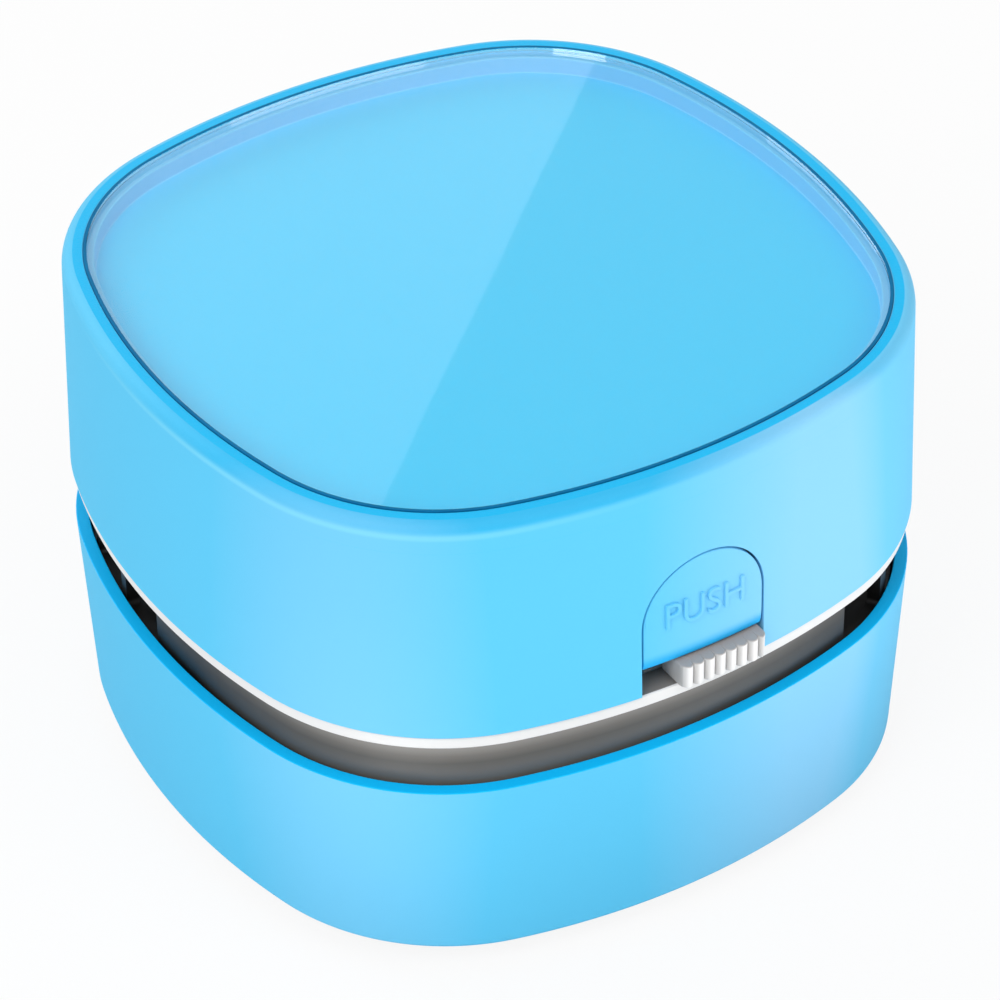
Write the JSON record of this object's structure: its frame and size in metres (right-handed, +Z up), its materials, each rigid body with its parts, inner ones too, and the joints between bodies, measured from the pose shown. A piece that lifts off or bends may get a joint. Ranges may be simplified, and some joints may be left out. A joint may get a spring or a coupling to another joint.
{
  "type": "desktop mini vacuum cleaner",
  "caption": "Bulged square desktop mini vacuum: lift-off upper body with fan, push tab and slide switch over a dust cup with brushed suction mouth.",
  "frame": {"origin": "on the desk, under the centre of the body's outline", "axes": "+Z up, -Y out of the front face with the push tab and the switch, +X to the right seen from the front"},
  "size_m": [0.085, 0.0862, 0.06],
  "materials": {
    "blue_abs": "fine moulded texture, satin",
    "clear_acrylic": "polished clear",
    "white_abs": "satin",
    "dark_abs": "polished dark",
    "grey_plastic": "as moulded",
    "steel": "plated",
    "brass": "turned",
    "cell_sleeve": "shrink sleeve",
    "board_green": "solder mask",
    "nylon": "drawn filament",
    "rubber": "matte",
    "filter_felt": "pressed felt",
    "wire_red": "insulation",
    "wire_black": "insulation"
  },
  "bodies": {
    "dust_cup": {"lower_shell": "blue_abs", "base_plate": "white_abs", "base_screw_1": "brass", "base_screw_2": "brass", "base_screw_3": "brass", "base_screw_4": "brass", "brush_strip_1": "nylon", "brush_strip_2": "nylon", "brush_strip_3": "nylon", "brush_strip_4": "nylon", "glide_foot_1": "rubber", "glide_foot_2": "rubber", "glide_foot_3": "rubber", "glide_foot_4": "rubber"},
    "upper_body": {"upper_shell": "blue_abs", "clear_cover": "clear_acrylic", "push_spring": "steel", "switch_body": "dark_abs", "switch_bezel": "dark_abs", "chassis_plate": "white_abs", "exhaust_collar": "dark_abs", "inlet_plate": "dark_abs", "motor_can": "steel", "motor_end_cap": "white_abs", "motor_clamp": "grey_plastic", "circuit_board": "board_green", "charge_socket": "steel", "battery_cell_left": "cell_sleeve", "battery_tray_left": "grey_plastic", "battery_cell_right": "cell_sleeve", "battery_tray_right": "grey_plastic", "clamp_screw_front": "steel", "clamp_screw_rear": "steel", "motor_wire_red": "wire_red", "motor_wire_black": "wire_black", "battery_wire_red": "wire_red", "battery_wire_black": "wire_black", "shell_screw_1": "steel", "shell_screw_2": "steel", "shell_screw_3": "steel", "shell_screw_4": "steel"},
    "push_button": {"push_tab": "blue_abs"},
    "switch_slider": {"switch_knob": "white_abs"},
    "fan_rotor": {"impeller": "white_abs", "motor_shaft": "steel"},
    "filter_cartridge": {"filter_frame": "white_abs", "filter_pad": "filter_felt", "filter_seal": "rubber"}
  },
  "joints": [
    {"name": "body_lift", "type": "slide", "parent": "dust_cup", "child": "upper_body", "axis": [0, 0, 1], "range_m": [0, 0.03]},
    {"name": "push_tab_press", "type": "slide", "parent": "upper_body", "child": "push_button", "axis": [0, 1, 0], "range_m": [0, 0.0016], "stiffness_N_per_m": 300, "springref_m": -0.002, "deforming": ["push_spring"]},
    {"name": "switch_slide", "type": "slide", "parent": "upper_body", "child": "switch_slider", "axis": [1, 0, 0], "range_m": [-0.004, 0]},
    {"name": "fan_spin", "type": "hinge", "parent": "upper_body", "child": "fan_rotor", "pos_m": [0, 0, 0.0275], "axis": [0, 0, 1], "continuous": true},
    {"name": "filter_pull", "type": "slide", "parent": "upper_body", "child": "filter_cartridge", "axis": [0, 0, 1], "range_m": [-0.005, 0]}
  ]
}
